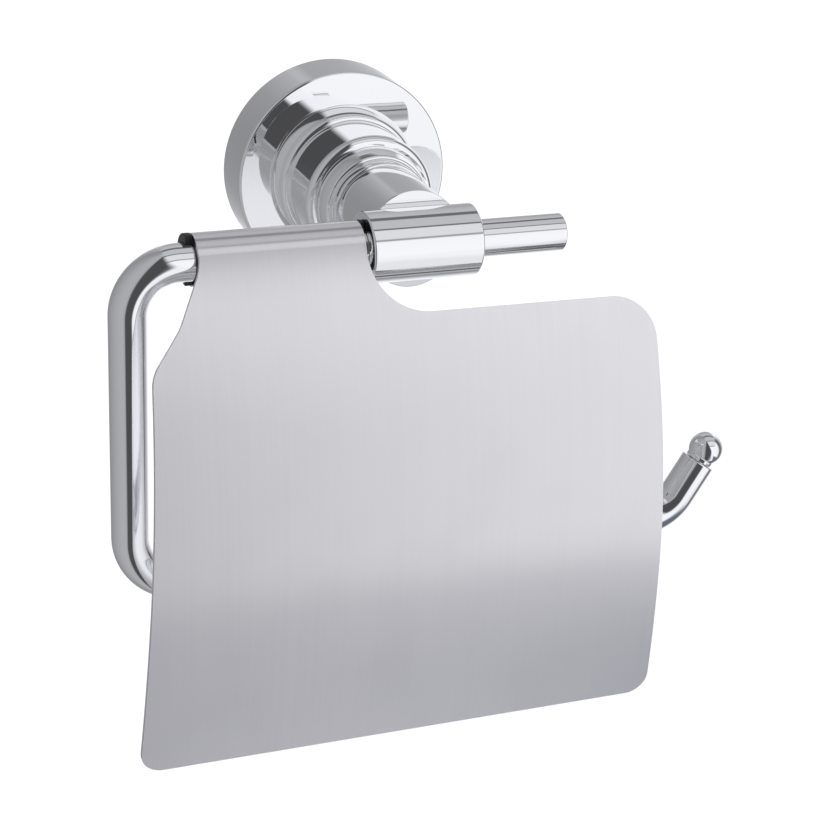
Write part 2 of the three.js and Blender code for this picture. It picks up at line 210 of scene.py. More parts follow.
def newGroup(name, inputs, outputs):
    group = bpy.data.node_groups.new(name, "ShaderNodeTree")
    for label, kind, value in inputs:
        socket = group.interface.new_socket(label, in_out="INPUT", socket_type=kind)
        if value is not None:
            socket.default_value = value
    for label, kind in outputs:
        group.interface.new_socket(label, in_out="OUTPUT", socket_type=kind)
    return group, node(group, "NodeGroupInput"), node(group, "NodeGroupOutput")


def noise(tree, vector, scale, detail=3.0, roughness=0.5):
    made = node(tree, "ShaderNodeTexNoise")
    made.inputs["Scale"].default_value = scale
    made.inputs["Detail"].default_value = detail
    made.inputs["Roughness"].default_value = roughness
    link(tree, vector, made.inputs["Vector"])
    return made.outputs["Fac"]


marksLook = {"broad": 55, "fine": 900, "patches": (0.45, 0.72), "mottle": (0.35, 0.7, 0.4, 1.0)}
rubLook = {"radius": 0.0004, "samples": 4, "turn": (0.995, 0.9), "breaks": 420,
           "broken": (0.35, 0.6, 0.3, 1.0)}
linesLook = {"fine": 1.0, "wide": 0.22, "wideShare": 0.5, "tone": (0.3, 0.7)}


def smudgeGroup():
    # handling marks: broad soft patches with a fine mottle inside them
    group, entry, end = newGroup("handlingMarks", [("Vector", "NodeSocketVector", None)],
                                 [("Mask", "NodeSocketFloat")])
    broad = noise(group, entry.outputs["Vector"], marksLook["broad"], 4, 0.55)
    fine = noise(group, entry.outputs["Vector"], marksLook["fine"], 3, 0.6)
    patches = ramp(group, broad, *marksLook["patches"])
    mottle = ramp(group, fine, *marksLook["mottle"])
    link(group, mathNode(group, "MULTIPLY", patches, mottle), end.inputs["Mask"])
    return group


def edgeGroup():
    # mask that is 1 along sharp edges and 0 on open surface, broken up by noise
    group, entry, end = newGroup("edgeRub", [("Vector", "NodeSocketVector", None)],
                                 [("Mask", "NodeSocketFloat")])
    soft = node(group, "ShaderNodeBevel", samples=rubLook["samples"])
    soft.inputs["Radius"].default_value = rubLook["radius"]
    shape = node(group, "ShaderNodeNewGeometry")
    turn = node(group, "ShaderNodeVectorMath", operation="DOT_PRODUCT")
    link(group, soft.outputs["Normal"], turn.inputs[0])
    link(group, shape.outputs["Normal"], turn.inputs[1])
    edge = ramp(group, turn.outputs["Value"], *rubLook["turn"])
    breaks = noise(group, entry.outputs["Vector"], rubLook["breaks"], 4, 0.6)
    broken = ramp(group, breaks, *rubLook["broken"])
    link(group, mathNode(group, "MULTIPLY", edge, broken), end.inputs["Mask"])
    return group


def grainGroup():
    # fine drawn lines: noise stretched along one direction by the vector that comes in
    group, entry, end = newGroup("drawnLines", [("Vector", "NodeSocketVector", None)],
                                 [("Height", "NodeSocketFloat"), ("Tone", "NodeSocketFloat")])
    lines = noise(group, entry.outputs["Vector"], linesLook["fine"], 5, 0.65)
    wide = noise(group, entry.outputs["Vector"], linesLook["wide"], 2, 0.5)
    broad = mathNode(group, "MULTIPLY", wide, linesLook["wideShare"])
    link(group, mathNode(group, "ADD", lines, broad), end.inputs["Height"])
    link(group, ramp(group, wide, *linesLook["tone"]), end.inputs["Tone"])
    return group


handlingMarks = smudgeGroup()
edgeRub = edgeGroup()
drawnLines = grainGroup()


def placed(tree, group, vector):
    made = node(tree, "ShaderNodeGroup")
    made.node_tree = group
    link(tree, vector, made.inputs["Vector"])
    return made


def mapped(tree, scale=(1, 1, 1)):
    coords = node(tree, "ShaderNodeTexCoord")
    mapping = node(tree, "ShaderNodeMapping")
    mapping.inputs["Scale"].default_value = scale
    link(tree, coords.outputs["Object"], mapping.inputs["Vector"])
    return mapping.outputs["Vector"]


def mixColor(tree, factor, first, second):
    made = node(tree, "ShaderNodeMix", data_type="RGBA")
    link(tree, factor, made.inputs["Factor"])
    for socket, value in ((made.inputs[6], first), (made.inputs[7], second)):
        if isinstance(value, tuple):
            socket.default_value = (*value, 1)
        else:
            link(tree, value, socket)
    return made.outputs[2]


def added(tree, *values):
    # sums a row of sockets and numbers, from the first on
    total = values[0]
    for value in values[1:]:
        total = mathNode(tree, "ADD", total, value)
    return total


def bump(tree, height, strength, distance):
    made = node(tree, "ShaderNodeBump")
    made.inputs["Strength"].default_value = strength
    made.inputs["Distance"].default_value = distance
    link(tree, height, made.inputs["Height"])
    return made.outputs["Normal"]


def newMaterial(name, metallic):
    material = bpy.data.materials.new(name)
    material.use_nodes = True
    tree = material.node_tree
    shader = tree.nodes["Principled BSDF"]
    shader.inputs["Metallic"].default_value = metallic
    return material, tree, shader


# ---- materials

chromeLook = {"color": (0.935, 0.937, 0.945), "rubbed": (0.8, 0.79, 0.77), "roughness": 0.016, "rub": 0.5,
              "haze": 0.03, "wear": 0.08, "ripple": 140, "rippleBump": (0.22, 0.00002)}


def polishedChrome():
    material, tree, shader = newMaterial("polishedChrome", 1)
    vector = mapped(tree)
    marks = placed(tree, handlingMarks, vector)
    edges = placed(tree, edgeRub, vector)
    rubbed = mathNode(tree, "MULTIPLY", edges.outputs["Mask"], chromeLook["rub"])
    color = mixColor(tree, rubbed, chromeLook["color"], chromeLook["rubbed"])
    link(tree, color, shader.inputs["Base Color"])
    haze = mathNode(tree, "MULTIPLY", marks.outputs["Mask"], chromeLook["haze"])
    wear = mathNode(tree, "MULTIPLY", edges.outputs["Mask"], chromeLook["wear"])
    link(tree, added(tree, haze, chromeLook["roughness"], wear), shader.inputs["Roughness"])
    ripple = noise(tree, vector, chromeLook["ripple"], 2)
    link(tree, bump(tree, ripple, *chromeLook["rippleBump"]), shader.inputs["Normal"])
    return material


# the colour and metal for the side toward the wall paint back light: a paler, less metallic finish that
# brightens the lid's back
sheetLook = {"color": (0.93, 0.915, 0.93), "shade": (0.91, 0.895, 0.915), "inside": (0.93, 0.93, 0.95),
             "edge": (0.93, 0.93, 0.94), "roughness": 0.285, "insideRoughness": 0.14, "paintedBackLightMetal": 0.85,
             "paintedBackLightFacing": (0.3, 0.6), "drawn": 0.82, "lines": (14000, 40, 40), "tone": 0.6,
             "toneRough": 0.012, "haze": 0.02, "edgePolish": 0.12, "lineBump": (0.006, 0.00001)}


def brushedSheet():
    material, tree, shader = newMaterial("brushedSheet", 1)
    lines = placed(tree, drawnLines, mapped(tree, sheetLook["lines"]))
    plain = mapped(tree)
    marks = placed(tree, handlingMarks, plain)
    edges = placed(tree, edgeRub, plain)
    coords = node(tree, "ShaderNodeTexCoord")
    facing = node(tree, "ShaderNodeSeparateXYZ")
    link(tree, coords.outputs["Normal"], facing.inputs[0])
    inside = ramp(tree, facing.outputs["Y"], *sheetLook["paintedBackLightFacing"])  # painted back light: 1 on the side toward the wall, which is made paler and less metallic so that it looks lit from behind
    tone = mathNode(tree, "MULTIPLY", lines.outputs["Tone"], sheetLook["tone"])
    color = mixColor(tree, tone, sheetLook["color"], sheetLook["shade"])
    color = mixColor(tree, inside, color, sheetLook["inside"])
    color = mixColor(tree, edges.outputs["Mask"], color, sheetLook["edge"])
    link(tree, color, shader.inputs["Base Color"])
    # painted back light: less metal on the side toward the wall lets it take up diffuse light and look
    # brighter
    paintedBackLight = mathNode(tree, "MULTIPLY", inside, sheetLook["paintedBackLightMetal"] - 1)
    link(tree, mathNode(tree, "ADD", paintedBackLight, 1.0), shader.inputs["Metallic"])
    streaks = mathNode(tree, "MULTIPLY", lines.outputs["Tone"], sheetLook["toneRough"])
    haze = mathNode(tree, "MULTIPLY", marks.outputs["Mask"], sheetLook["haze"])
    polish = mathNode(tree, "MULTIPLY", edges.outputs["Mask"], -sheetLook["edgePolish"])
    smooth = mathNode(tree, "MULTIPLY", inside, sheetLook["insideRoughness"] - sheetLook["roughness"])
    total = added(tree, streaks, haze, polish, smooth)
    link(tree, mathNode(tree, "ADD", total, sheetLook["roughness"], clamp=True), shader.inputs["Roughness"])
    # the drawn lines run down the sheet, so the gloss spreads along X
    across = node(tree, "ShaderNodeVectorTransform", vector_type="VECTOR", convert_from="OBJECT",
                  convert_to="WORLD")
    across.inputs[0].default_value = rodAxis
    link(tree, across.outputs[0], shader.inputs["Tangent"])
    shader.inputs["Anisotropic"].default_value = sheetLook["drawn"]
    link(tree, bump(tree, lines.outputs["Height"], *sheetLook["lineBump"]), shader.inputs["Normal"])
    return material


plasticLook = {"color": (0.012, 0.012, 0.014), "dust": (0.05, 0.05, 0.052), "roughness": 0.42, "fade": 0.5,
               "wear": 0.2, "texture": 2600, "textureBump": (0.3, 0.00004)}


def blackPlastic():
    material, tree, shader = newMaterial("blackPlastic", 0)
    vector = mapped(tree)
    marks = placed(tree, handlingMarks, vector)
    edges = placed(tree, edgeRub, vector)
    worn = mathNode(tree, "MAXIMUM", marks.outputs["Mask"], edges.outputs["Mask"])
    faded = mathNode(tree, "MULTIPLY", worn, plasticLook["fade"])
    link(tree, mixColor(tree, faded, plasticLook["color"], plasticLook["dust"]), shader.inputs["Base Color"])
    wear = mathNode(tree, "MULTIPLY", worn, plasticLook["wear"])
    link(tree, added(tree, wear, plasticLook["roughness"]), shader.inputs["Roughness"])
    texture = noise(tree, vector, plasticLook["texture"], 3)
    link(tree, bump(tree, texture, *plasticLook["textureBump"]), shader.inputs["Normal"])
    return material


zincLook = {"color": (0.42, 0.43, 0.45), "bright": (0.62, 0.63, 0.65), "roughness": 0.4, "clouds": 90,
            "cloudEdges": (0.3, 0.7), "cloudShare": 0.4, "skin": 380, "skinRough": 0.2,
            "skinBump": (0.5, 0.00012)}


def castZinc():
    material, tree, shader = newMaterial("castZinc", 1)
    vector = mapped(tree)
    edges = placed(tree, edgeRub, vector)
    skin = noise(tree, vector, zincLook["skin"], 6, 0.65)
    clouds = ramp(tree, noise(tree, vector, zincLook["clouds"], 3), *zincLook["cloudEdges"])
    clouds = mathNode(tree, "MULTIPLY", clouds, zincLook["cloudShare"])
    bright = mathNode(tree, "MAXIMUM", clouds, edges.outputs["Mask"])
    link(tree, mixColor(tree, bright, zincLook["color"], zincLook["bright"]), shader.inputs["Base Color"])
    grit = mathNode(tree, "MULTIPLY", skin, zincLook["skinRough"])
    link(tree, added(tree, grit, zincLook["roughness"]), shader.inputs["Roughness"])
    link(tree, bump(tree, skin, *zincLook["skinBump"]), shader.inputs["Normal"])
    return material


plateLook = {"color": (0.66, 0.68, 0.72), "warm": (0.68, 0.66, 0.58), "roughness": 0.26, "clouds": 260,
             "cloudEdges": (0.35, 0.65), "haze": 0.2, "skin": 3000, "skinBump": (0.25, 0.00003)}


def zincPlate():
    material, tree, shader = newMaterial("zincPlate", 1)
    vector = mapped(tree)
    clouds = ramp(tree, noise(tree, vector, plateLook["clouds"], 4), *plateLook["cloudEdges"])
    marks = placed(tree, handlingMarks, vector)
    link(tree, mixColor(tree, clouds, plateLook["color"], plateLook["warm"]), shader.inputs["Base Color"])
    haze = mathNode(tree, "MULTIPLY", marks.outputs["Mask"], plateLook["haze"])
    link(tree, added(tree, haze, plateLook["roughness"]), shader.inputs["Roughness"])
    skin = noise(tree, vector, plateLook["skin"], 3)
    link(tree, bump(tree, skin, *plateLook["skinBump"]), shader.inputs["Normal"])
    return material


chrome = polishedChrome()
sheet = brushedSheet()
plastic = blackPlastic()
castMetal = castZinc()
screwMetal = zincPlate()
print("materials made")


# ---- rosette and bracket

rosette = {"wall": 0.0024, "edge": 0.0007, "backEdge": 0.0002, "inside": 0.0008, "hole": 0.0028,
           "screwHole": 0.0023, "grooveY": -0.0062}


def makeRosette():
    low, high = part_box("rosette")
    radius, front = high.x, low.y
    floor = front + rosette["wall"]
    inner = radius - rosette["wall"]
    groove, past = rosette["grooveY"], detail["cutPast"]
    bm = bmesh.new()
    turned(bm, [
        (rosette["hole"], floor),
        (rosette["hole"], front),
        (radius, front, rosette["edge"]),
        (radius, 0, rosette["backEdge"]),
        (inner, 0),
        (inner, floor, rosette["inside"]),
    ], steps=detail["fine"])
    cup = meshOf(bm, "cup")
    bm = bmesh.new()
    rod(bm, (0, groove, -radius - past), (0, groove, -inner + past), rosette["screwHole"], detail["drill"])
    shell = combine(cup, [meshOf(bm, "hole")], "DIFFERENCE")
    return piece("rosette_shell", shell, "holder", chrome, ["rosette"])


bracket = {"floor": 0.003, "rim": 0.0033, "grooveDepth": 0.0014, "mouth": 0.0024, "bottom": 0.001,
           "inside": 0.0008, "rimEdge": 0.0006, "grooveEdge": 0.0002, "backEdge": 0.0004,
           "slotLength": 0.0085, "slotRadius": 0.0024, "slotMargin": 0.0042, "slotSteps": 16}


def makeBracket():
    low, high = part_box("wall_bracket")
    radius, front = high.x, low.y
    inner = radius - bracket["rim"]
    groove = rosette["grooveY"]
    bm = bmesh.new()
    turned(bm, [
        (detail["nearAxis"], 0),
        (detail["nearAxis"], -bracket["floor"]),
        (inner, -bracket["floor"], bracket["inside"]),
        (inner, front, bracket["rimEdge"]),
        (radius, front, bracket["rimEdge"]),
        (radius, groove - bracket["mouth"], bracket["grooveEdge"]),
        (radius - bracket["grooveDepth"], groove - bracket["bottom"], bracket["grooveEdge"]),
        (radius - bracket["grooveDepth"], groove + bracket["bottom"], bracket["grooveEdge"]),
        (radius, groove + bracket["mouth"], bracket["grooveEdge"]),
        (radius, 0, bracket["backEdge"]),
    ])
    closePoles(bm)
    dish = meshOf(bm, "dish")
    offset = inner - bracket["slotMargin"] - bracket["slotLength"] / 2
    # one slot lies along the rod's direction and one stands upright
    slots = [slotMesh(-rodAxis * offset, rodAxis), slotMesh(rodAxis * offset, Vector((0, 0, 1)))]
    casting = combine(dish, slots, "DIFFERENCE")
    return piece("bracket_casting", casting, "holder", castMetal, ["wall_bracket"])


def slotMesh(centre, along):
    # one point, spun half round each end of the slot and drawn straight between them
    radius, steps = bracket["slotRadius"], bracket["slotSteps"]
    reach = along * (bracket["slotLength"] / 2 - radius)
    bm = bmesh.new()
    start = bm.verts.new(centre + reach - along.cross(wallAxis) * radius + wallAxis * detail["cutPast"])
    made = bmesh.ops.spin(bm, geom=[start], cent=centre + reach, axis=-wallAxis, angle=math.pi, steps=steps)
    made = bmesh.ops.extrude_vert_indiv(bm, verts=made["geom_last"])
    bmesh.ops.translate(bm, vec=-2 * reach, verts=made["verts"])
    made = bmesh.ops.spin(bm, geom=made["verts"], cent=centre - reach, axis=-wallAxis, angle=math.pi,
                          steps=steps)
    bm.edges.new((made["geom_last"][0], start))
    bmesh.ops.contextual_create(bm, geom=list(bm.edges))
    made = bmesh.ops.extrude_face_region(bm, geom=list(bm.faces))
    moved = [item for item in made["geom"] if isinstance(item, bmesh.types.BMVert)]
    bmesh.ops.translate(bm, vec=-wallAxis * (bracket["floor"] + 2 * detail["cutPast"]), verts=moved)
    return meshOf(bm, "slot")


makeRosette()
makeBracket()
print("rosette and bracket made")


# ---- collars, post and sleeve

baseCollar = {"bore": 0.0062, "drum": 0.0166, "lip": 0.0015, "bead": 0.0037, "edge": 0.0018}
neckCollar = {"bore": 0.0062, "drum": 0.0125, "lip": 0.0008, "bead": 0.0038, "edge": 0.0006}

# shares of the step's depth and of the bead's length, then two roundings in metres
bead = {"rootDepth": 0.35, "rootRound": 0.3, "crestFall": 0.25, "crestRound": 0.85, "innerEdge": 0.0003,
        "backEdge": 0.0002}


def makeCollar(name, nodeName, sizes):
    low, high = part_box(nodeName)
    flange, foot, front = high.x, high.y, low.y
    beadStart = foot - sizes["lip"]
    beadEnd = beadStart - sizes["bead"]
    depth = flange - sizes["drum"]
    bm = bmesh.new()
    turned(bm, [
        (sizes["bore"], foot),
        (sizes["bore"], front),
        (sizes["drum"], front, sizes["edge"]),
        (sizes["drum"], beadEnd, bead["innerEdge"]),
        (sizes["drum"] + bead["rootDepth"] * depth, beadEnd, bead["rootRound"] * depth),
        (flange, beadStart - bead["crestFall"] * sizes["bead"], bead["crestRound"] * depth),
        (flange, foot, bead["backEdge"]),
    ], steps=detail["fine"])
    return piece(name, meshOf(bm, name), "holder", chrome, [nodeName])


post = {"tenon": 0.006, "bore": 0.0028, "edge": 0.00025, "shoulderGap": 0.0002, "shoulderEdge": 0.0002,
        "saddleGap": 0.00005, "saddleReach": 0.02}
sleeve = {"edge": 0.0005, "boreEdge": 0.0002, "boreGap": 0.0002, "screwHole": 0.0023, "screwX": 0.0065}


def makePost():
    low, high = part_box("post")
    radius, foot, front = high.x, high.y, low.y
    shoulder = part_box("neck_collar")[0].y - post["shoulderGap"]
    bm = bmesh.new()
    turned(bm, [
        (post["bore"], foot),
        (post["bore"], front),
        (radius, front, post["edge"]),
        (radius, shoulder, post["shoulderEdge"]),
        (post["tenon"], shoulder),
        (post["tenon"], foot),
    ], steps=detail["fine"])
    body = meshOf(bm, "post")
    # the saddle that the sleeve lies in
    reach, saddleRadius = post["saddleReach"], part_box("cross_sleeve")[1].z + post["saddleGap"]
    bm = bmesh.new()
    rod(bm, (-reach, rodY, 0), (reach, rodY, 0), saddleRadius, detail["fine"])
    shaped = combine(body, [meshOf(bm, "saddle")], "DIFFERENCE")
    return piece("post_turned", shaped, "holder", chrome, ["post"])


def makeSleeve():
    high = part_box("cross_sleeve")[1]
    radius, half = high.z, high.x
    bore = rodRadius + sleeve["boreGap"]
    bm = bmesh.new()
    turned(bm, [
        (bore, -half, sleeve["boreEdge"]),
        (radius, -half, sleeve["edge"]),
        (radius, half, sleeve["edge"]),
        (bore, half, sleeve["boreEdge"]),
    ], steps=detail["fine"], axis=rodAxis, centre=(0, rodY, 0))
    tube = meshOf(bm, "sleeve")
    inside, outside = -bore + detail["cutPast"], -radius - detail["cutPast"]
    bm = bmesh.new()
    rod(bm, (sleeve["screwX"], rodY, inside), (sleeve["screwX"], rodY, outside), sleeve["screwHole"],
        detail["drill"])
    drilled = combine(tube, [meshOf(bm, "hole")], "DIFFERENCE")
    return piece("sleeve_tube", drilled, "holder", chrome, ["cross_sleeve"])


makeCollar("collar_base", "base_collar", baseCollar)
makeCollar("collar_neck", "neck_collar", neckCollar)
makePost()
makeSleeve()
print("collars, post and sleeve made")


# ---- rod and ball

arm = {"stubEnd": 0.0365, "bend": 0.0117, "cornerBend": 0.0134, "hookStart": 0.0653,
       "hookAngle": math.radians(59), "tail": 0.0105, "edge": 0.00035, "bendSteps": 32, "hookSteps": 22}


def only(made, kind=bmesh.types.BMEdge):
    return [item for item in made if isinstance(item, kind)]


def pull(bm, ring, offset):
    made = bmesh.ops.extrude_edge_only(bm, edges=ring)["geom"]
    bmesh.ops.translate(bm, vec=offset, verts=only(made, bmesh.types.BMVert))
    return only(made)


def sweep(bm, ring, centre, angle, steps):
    made = bmesh.ops.spin(bm, geom=ring, cent=centre, axis=-wallAxis, angle=angle, steps=steps)
    return only(made["geom_last"])


def hookEnd():
    # where the hook's straight tail ends, and which way it points
    along = Vector((math.cos(arm["hookAngle"]), 0, math.sin(arm["hookAngle"])))
    start = Vector((arm["hookStart"], rodY, barZ + arm["bend"]))
    across = Vector((math.sin(arm["hookAngle"]), 0, -math.cos(arm["hookAngle"])))
    return start + across * arm["bend"] + along * arm["tail"], along


def makeArm():
    bend, corner = arm["bend"], arm["cornerBend"]
    stubEnd, hookStart, quarter = arm["stubEnd"], arm["hookStart"], math.pi / 2
    bm = bmesh.new()
    place = Matrix.Translation((stubEnd, rodY, 0)) @ Matrix.Rotation(-quarter, 4, "Y")
    bmesh.ops.create_circle(bm, cap_ends=True, segments=detail["rod"], radius=rodRadius, matrix=place)
    ring = pull(bm, list(bm.edges), (armLeft + bend - stubEnd, 0, 0))
    ring = sweep(bm, ring, (armLeft + bend, rodY, -bend), quarter, arm["bendSteps"])
    ring = pull(bm, ring, (0, 0, barZ + bend + corner))
    ring = sweep(bm, ring, (armLeft + corner, rodY, barZ + corner), quarter, arm["bendSteps"])
    ring = pull(bm, ring, (hookStart - armLeft - corner, 0, 0))
    ring = sweep(bm, ring, (hookStart, rodY, barZ + bend), arm["hookAngle"], arm["hookSteps"])
    ring = pull(bm, ring, hookEnd()[1] * arm["tail"])
    bmesh.ops.contextual_create(bm, geom=ring)
    bmesh.ops.recalc_face_normals(bm, faces=bm.faces)
    rounded(bm, arm["edge"])
    return piece("arm_rod", meshOf(bm, "arm"), "holder", chrome, ["roll_arm"])


ball = {"radius": 0.0044, "neck": 0.0036, "reach": 0.0036, "spigot": 0.002, "spigotLength": 0.007,
        "gap": 0.0001, "spigotEdge": 0.0003, "neckEdge": 0.00015, "domeSteps": 40}


def makeBall():
    end, along = hookEnd()
    radius, neck, gap, foot = ball["radius"], ball["neck"], ball["gap"], -ball["spigotLength"]
    outline = [(detail["nearAxis"], foot), (ball["spigot"], foot, ball["spigotEdge"]), (ball["spigot"], gap),
               (neck, gap, ball["neckEdge"])]
    wide = math.pi - math.asin(neck / radius)  # from the tip round to the neck
    for step in range(ball["domeSteps"]):
        angle = wide * (1 - step / ball["domeSteps"])
        outline.append((radius * math.sin(angle), ball["reach"] + radius * math.cos(angle)))
    outline.append((detail["nearAxis"], ball["reach"] + radius))
    bm = bmesh.new()
    turned(bm, outline, steps=detail["rod"], axis=along, centre=end)
    closePoles(bm, end, along)
    return piece("ball_tip", meshOf(bm, "ball"), "holder", chrome, ["tip_ball"])


makeArm()
makeBall()
print("rod and ball made")


# ---- lid

lid = {"sheet": 0.001, "curlStart": math.radians(27), "curlEnd": math.radians(262), "upperRadius": 0.164,
       "upperLength": 0.086, "lowerRadius": 0.340, "length": 0.1259, "shoulder": 0.0165,
       "shoulderFall": 0.0007, "neckLeft": -0.0543, "neckRight": -0.0149, "leftTop": -0.067,
       "rightTop": 0.0559, "spread": 0.047, "cutout": 0.0146, "shoulderRound": 0.0113, "corner": 0.0056,
       "flareCorner": 0.0254, "flareSlope": math.radians(36), "flareLength": 0.0122, "flareRound": 0.008,
       "neckFoot": 0.0025, "neckRound": 0.012, "edge": 0.00012, "edgeSegments": 2, "cornerSegments": 18,
       "curlCuts": 78, "sheetCuts": 104, "cutStep": 0.0012}
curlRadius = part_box("lid_plate")[1].z


def sheetPoint(x, s):
    # outer face of the sheet: s runs down from where it leaves the curl, and back over the curl below 0
    start = lid["curlStart"]
    if s < 0:
        angle = start - s / curlRadius
        return Vector((x, rodY - curlRadius * math.cos(angle), curlRadius * math.sin(angle)))
    upper = min(s, lid["upperLength"])
    lower = max(s - lid["upperLength"], 0)
    turnLean = start - upper / lid["upperRadius"]
    lean = turnLean - lower / lid["lowerRadius"]
    y = rodY - curlRadius * math.cos(start)
    y -= lid["upperRadius"] * (math.cos(turnLean) - math.cos(start))
    y -= lid["lowerRadius"] * (math.cos(lean) - math.cos(turnLean))
    z = curlRadius * math.sin(start)
    z -= lid["upperRadius"] * (math.sin(start) - math.sin(turnLean))
    z -= lid["lowerRadius"] * (math.sin(turnLean) - math.sin(lean))
    return Vector((x, y, z))


def lidEdge(side, s):
    spread = lid["spread"] * (s - lid["shoulder"])
    return lid["rightTop"] + spread if side == "right" else lid["leftTop"] - spread


def makeLid():
    # the flat blank lies with s along -Y, then is bent to shape
    top = -(lid["curlEnd"] - lid["curlStart"]) * curlRadius
    shoulder, length, corner = lid["shoulder"], lid["length"], lid["flareCorner"]
    flare = Vector((math.sin(lid["flareSlope"]), -math.cos(lid["flareSlope"])))
    cornerSpot = Vector((lidEdge("left", corner), corner))
    outline = [
        ((lid["neckRight"], top), 0),
        ((lid["neckRight"], shoulder), lid["cutout"]),
        ((lidEdge("right", shoulder), shoulder + lid["shoulderFall"]), lid["shoulderRound"]),
        ((lidEdge("right", length), length), lid["corner"]),
        ((lidEdge("left", length), length), lid["corner"]),
        (tuple(cornerSpot), lid["flareRound"]),
        (tuple(cornerSpot + flare * lid["flareLength"]), lid["neckRound"]),
        ((lid["neckLeft"], lid["neckFoot"]), lid["neckRound"]),
        ((lid["neckLeft"], top), 0),
    ]
    bm = bmesh.new()
    verts = wire(bm, [(x, -s, 0) for (x, s), size in outline])
    for vert, (_, size) in zip(verts, outline):
        if size:
            roundVert(bm, vert, size)
    bmesh.ops.contextual_create(bm, geom=list(bm.edges))
    # cut across in strips, so that the blank can bend
    cuts = [top * step / lid["curlCuts"] for step in range(lid["curlCuts"])]
    cuts += [lid["cutStep"] * step for step in range(1, lid["sheetCuts"] + 1)]
    for s in cuts:
        bmesh.ops.bisect_plane(bm, geom=list(bm.verts) + list(bm.edges) + list(bm.faces),
                               plane_co=(0, -s, 0), plane_no=wallAxis, dist=detail["tiny"])
    for vert in bm.verts:
        vert.co = sheetPoint(vert.co.x, -vert.co.y)
    bmesh.ops.recalc_face_normals(bm, faces=bm.faces)
    middle = min(bm.faces, key=lambda face: face.calc_center_median().y)
    if middle.normal.y > 0:
        bmesh.ops.reverse_faces(bm, faces=bm.faces)
    bmesh.ops.solidify(bm, geom=list(bm.faces), thickness=lid["sheet"])
    bmesh.ops.recalc_face_normals(bm, faces=bm.faces)
    rounded(bm, lid["edge"], lid["edgeSegments"])
    return piece("lid_sheet", meshOf(bm, "lid"), "lid", sheet, ["lid_plate"])


def roundVert(bm, vert, radius):
    # a fillet of that radius: the bevel's offset is the length that it takes from each side
    first, second = [edge.other_vert(vert).co - vert.co for edge in vert.link_edges]
    offset = radius / math.tan(first.angle(second) / 2)
    roundCorner(bm, vert, offset, lid["cornerSegments"])


bush = {"length": 0.012, "leftFlange": 0.0019, "rightFlange": 0.0011, "gap": 0.0002, "rise": 0.00065,
        "front": 0.001, "bore": 0.0001, "wall": 0.0008, "flangeInset": 0.00055, "edge": 0.00025,
        "overlap": 0.0001, "drillPast": 0.01, "block": 0.04}


def makeBush(name, nodeName, end, flange, inward):
    # inward is 1 or -1 along X, from the curl's end into the curl
    bore = rodRadius + bush["bore"]
    outer = end - inward * flange
    half, rise = bush["block"] / 2, bush["rise"]
    bm = bmesh.new()
    rod(bm, (outer, rodY, rise), (end - inward * bush["gap"], rodY, rise), curlRadius - bush["flangeInset"])
    rounded(bm, bush["edge"])
    disc = meshOf(bm, "disc")
    bm = bmesh.new()
    rod(bm, (outer + inward * bush["overlap"], rodY, 0), (end + inward * bush["length"], rodY, 0),
        bore + bush["wall"])
    tube = meshOf(bm, "tube")
    bm = bmesh.new()
    rod(bm, (outer - inward * bush["drillPast"], rodY, 0),
        (end + inward * (bush["length"] + bush["drillPast"]), rodY, 0), bore)
    hole = meshOf(bm, "hole")
    # a block takes the flange away in front of the rod
    bm = bmesh.new()
    bmesh.ops.create_cube(bm, size=bush["block"])
    bmesh.ops.translate(bm, vec=(end - inward * half, rodY - bush["front"] - half, 0), verts=bm.verts)
    front = meshOf(bm, "front")
    solid = combine(combine(disc, [tube], "UNION"), [hole, front], "DIFFERENCE")
    return piece(name, solid, "lid", plastic, [nodeName])


makeLid()
makeBush("bush_left", "lid_bush_left", lid["neckLeft"], bush["leftFlange"], 1)
makeBush("bush_right", "lid_bush_right", lid["neckRight"], bush["rightFlange"], -1)
print("lid made")


# ---- the screws, bolt and washer keep their CAD meshes

for nodeName in ("rosette_screw", "arm_screw", "tie_bolt", "tie_washer"):
    nodes[nodeName].data.materials.clear()
    nodes[nodeName].data.materials.append(screwMetal)


# ---- studio

studio = {"floorZ": -0.42, "floorSize": 30.0, "floorColor": (0.93, 0.93, 0.93), "floorRoughness": 0.9,
          "floorGlow": 0.68}


def makeFloor():
    bm = bmesh.new()
    bmesh.ops.create_grid(bm, x_segments=1, y_segments=1, size=studio["floorSize"])
    bmesh.ops.translate(bm, vec=(0, 0, studio["floorZ"]), verts=bm.verts)
    mesh = meshOf(bm, "floor")
    floor = bpy.data.objects.new("floor", mesh)
    bpy.context.scene.collection.objects.link(floor)
    material, _, shader = newMaterial("paleFloor", 0)
    shader.inputs["Base Color"].default_value = (*studio["floorColor"], 1)
    shader.inputs["Roughness"].default_value = studio["floorRoughness"]
    shader.inputs["Emission Color"].default_value = (1, 1, 1, 1)
    shader.inputs["Emission Strength"].default_value = studio["floorGlow"]
    mesh.materials.append(material)
    floor.visible_glossy = False


